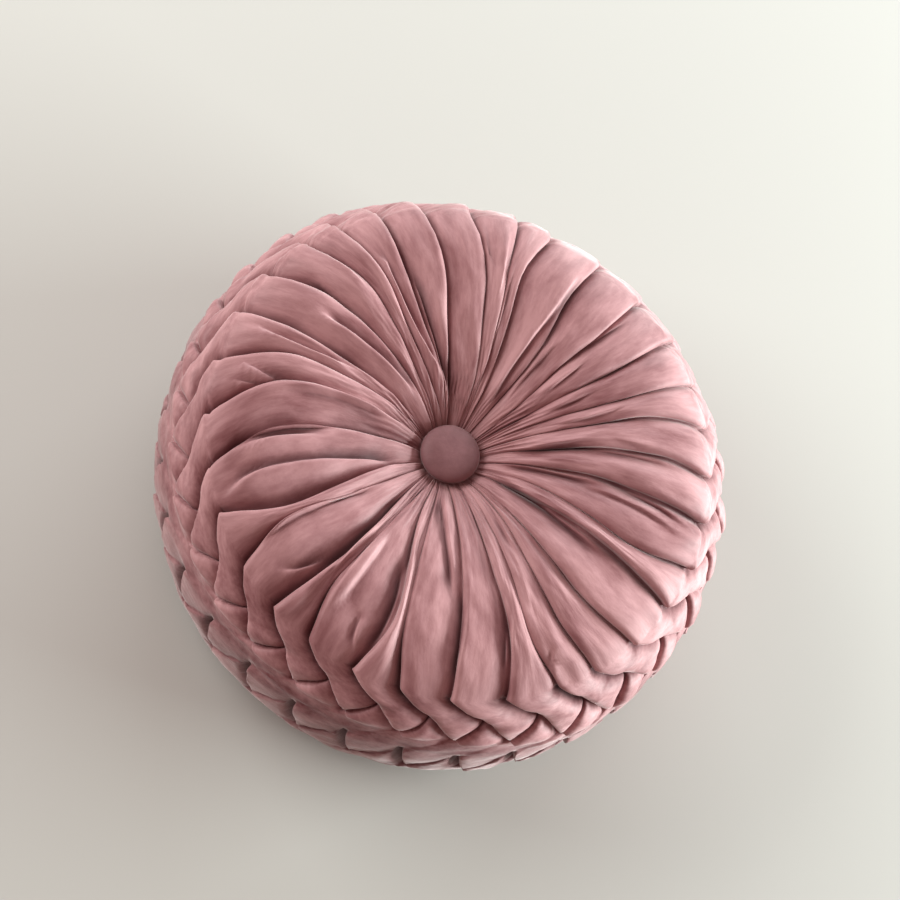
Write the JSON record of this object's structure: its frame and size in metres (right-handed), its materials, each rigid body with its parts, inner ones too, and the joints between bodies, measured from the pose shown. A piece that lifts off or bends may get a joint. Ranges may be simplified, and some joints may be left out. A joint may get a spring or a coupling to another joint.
{
  "type": "round pleated cushion",
  "caption": "Round velvet cushion with both faces pleated into a covered button and a smocked side band of folded strips.",
  "frame": {"origin": "centre of the cushion's outline on the surface that it lies on", "axes": "+Z out of the front face, +X to the right and +Y up on that face as it stands in use"},
  "size_m": [0.378, 0.3842, 0.1376],
  "materials": {
    "cover": "dusty rose velvet with a silky sheen",
    "button": "velvet drawn tight over a button"
  },
  "bodies": {
    "root": {"cover": "cover", "button_front": "button", "button_back": "button"}
  },
  "joints": []
}
